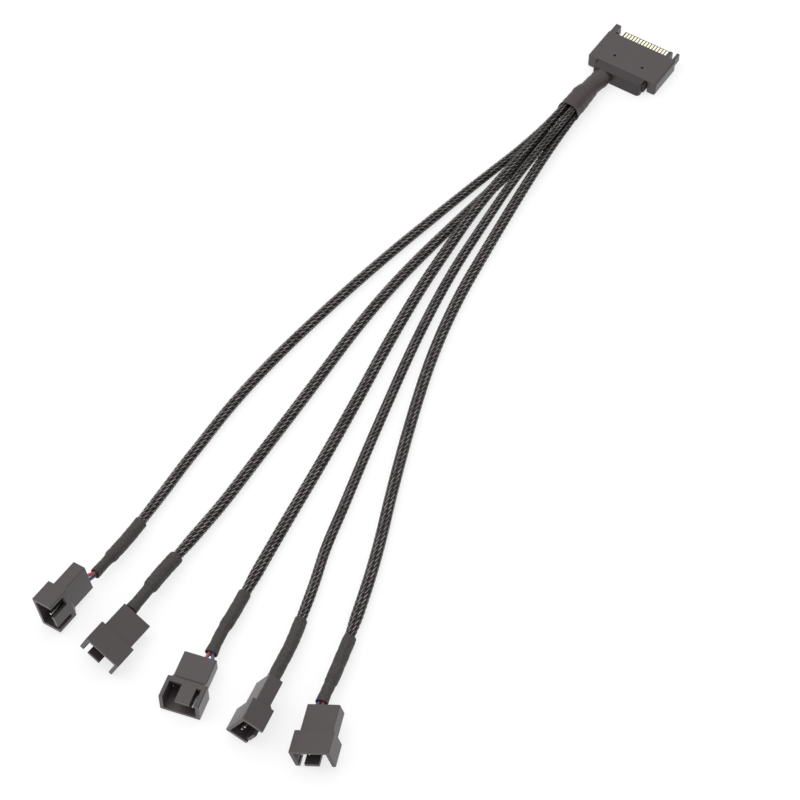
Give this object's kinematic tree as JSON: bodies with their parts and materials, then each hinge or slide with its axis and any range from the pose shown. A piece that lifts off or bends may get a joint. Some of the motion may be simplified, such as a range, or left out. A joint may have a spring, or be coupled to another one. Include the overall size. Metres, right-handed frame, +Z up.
{
  "type": "fan splitter cable",
  "caption": "Cable that splits a drive power plug into several braided leads, each ending in a shrouded fan header with shrink boots.",
  "frame": {"origin": "centre of the power plug on the surface that it lies on", "axes": "+Y out of the power plug's mating side, +Z up from the surface, +X along the plug's width; the leads run to -Y"},
  "size_m": [0.1117, 0.338, 0.0153],
  "materials": {
    "connector_plastic": "moulded, fine grain",
    "shrink_tube": "soft satin",
    "braided_sleeve": "woven monofilament",
    "red_wire": "smooth",
    "blue_wire": "smooth",
    "gold_contact": "gold plated",
    "tinned_pin": "tin plated"
  },
  "bodies": {
    "root": {"plug_housing": "connector_plastic", "plug_rear_cover": "connector_plastic", "plug_contacts": "gold_contact", "trunk_shrink": "shrink_tube", "lead_1_sleeve": "braided_sleeve", "lead_1_shrink": "shrink_tube", "lead_1_red_wire": "red_wire", "lead_1_blue_wire": "blue_wire", "fan_header_1": "connector_plastic", "fan_pins_1": "tinned_pin", "lead_2_sleeve": "braided_sleeve", "lead_2_shrink": "shrink_tube", "lead_2_red_wire": "red_wire", "lead_2_blue_wire": "blue_wire", "fan_header_2": "connector_plastic", "fan_pins_2": "tinned_pin", "lead_3_sleeve": "braided_sleeve", "lead_3_shrink": "shrink_tube", "lead_3_red_wire": "red_wire", "lead_3_blue_wire": "blue_wire", "fan_header_3": "connector_plastic", "fan_pins_3": "tinned_pin", "lead_4_sleeve": "braided_sleeve", "lead_4_shrink": "shrink_tube", "lead_4_red_wire": "red_wire", "lead_4_blue_wire": "blue_wire", "fan_header_4": "connector_plastic", "fan_pins_4": "tinned_pin", "lead_5_sleeve": "braided_sleeve", "lead_5_shrink": "shrink_tube", "lead_5_red_wire": "red_wire", "lead_5_blue_wire": "blue_wire", "fan_header_5": "connector_plastic", "fan_pins_5": "tinned_pin"}
  },
  "joints": []
}
